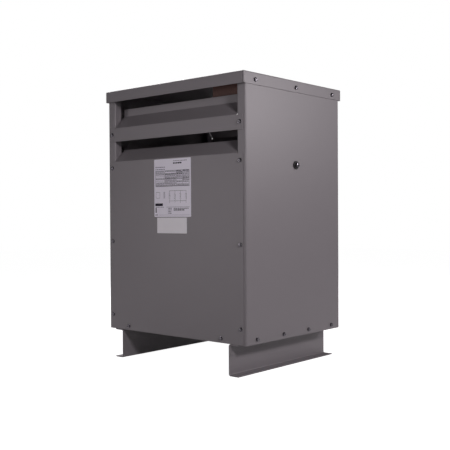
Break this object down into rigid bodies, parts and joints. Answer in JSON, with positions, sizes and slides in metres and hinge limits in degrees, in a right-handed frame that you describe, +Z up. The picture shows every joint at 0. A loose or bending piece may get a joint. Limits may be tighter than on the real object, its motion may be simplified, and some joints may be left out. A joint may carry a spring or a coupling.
{
  "type": "ventilated dry-type transformer",
  "caption": "Floor-standing dry-type transformer in a grey folded-sheet enclosure with louvred openings under the lid, channel feet, and a laminated core with wound coils inside.",
  "frame": {"origin": "centre of the footprint, on the floor under the feet", "axes": "+Z up, -Y towards the front cover with the nameplate, +X to the right seen from the front"},
  "size_m": [0.592, 0.4844, 0.848],
  "materials": {
    "enclosure_paint": "fine-textured grey powder coat",
    "screw_steel": "darkened zinc plate",
    "bolt_steel": "zinc plate",
    "rivet_aluminium": "plain",
    "rubber": "matte black",
    "barrier_fibre": "brown insulating fibre board",
    "nameplate_film": "satin white film",
    "sticker_film": "satin white film",
    "core_steel": "varnished laminations",
    "clamp_paint": "dark primer",
    "secondary_winding": "varnished insulation over foil",
    "primary_winding": "varnished insulation over wire",
    "insulating_board": "red-brown glass-polyester board",
    "conductor_aluminium": "plated bar",
    "tap_brass": "plain",
    "strap_copper": "braided copper strap"
  },
  "bodies": {
    "root": {"barrier_board": "barrier_fibre", "barrier_rivets": "rivet_aluminium", "base_pan": "enclosure_paint", "brace_bolts": "screw_steel", "brace_grommet_left": "rubber", "brace_grommet_right": "rubber", "core_legs": "core_steel", "core_upper_yoke": "core_steel", "duct_sticks_centre": "insulating_board", "duct_sticks_left": "insulating_board", "duct_sticks_right": "insulating_board", "foot_left": "enclosure_paint", "foot_right": "enclosure_paint", "front_cover_screws": "screw_steel", "front_louvre_band": "enclosure_paint", "front_panel": "enclosure_paint", "ground_lug": "conductor_aluminium", "ground_strap": "strap_copper", "isolation_pad_front_left": "rubber", "isolation_pad_front_right": "rubber", "isolation_pad_rear_left": "rubber", "isolation_pad_rear_right": "rubber", "lid": "enclosure_paint", "lid_screws": "screw_steel", "lower_clamp_front": "clamp_paint", "lower_clamp_rear": "clamp_paint", "lower_coil_blocks": "insulating_board", "lower_sticker": "sticker_film", "lower_yoke_bolts": "bolt_steel", "mounting_bolts": "bolt_steel", "nameplate": "nameplate_film", "neutral_bar": "conductor_aluminium", "primary_coil_centre": "primary_winding", "primary_coil_left": "primary_winding", "primary_coil_right": "primary_winding", "primary_leads": "conductor_aluminium", "primary_terminal_board": "insulating_board", "rear_cover_screws": "screw_steel", "rear_louvre_band": "enclosure_paint", "rear_panel": "enclosure_paint", "secondary_coil_centre": "secondary_winding", "secondary_coil_left": "secondary_winding", "secondary_coil_right": "secondary_winding", "secondary_leads": "conductor_aluminium", "secondary_terminal_board": "insulating_board", "side_brace_left": "clamp_paint", "side_brace_right": "clamp_paint", "side_panel_left": "enclosure_paint", "side_panel_right": "enclosure_paint", "side_screws": "screw_steel", "tap_boards": "insulating_board", "tap_links": "tap_brass", "tap_studs": "tap_brass", "terminal_bolts": "bolt_steel", "tie_rods": "bolt_steel", "upper_clamp_front": "clamp_paint", "upper_clamp_rear": "clamp_paint", "upper_coil_blocks": "insulating_board", "upper_yoke_bolts": "bolt_steel"}
  },
  "joints": []
}
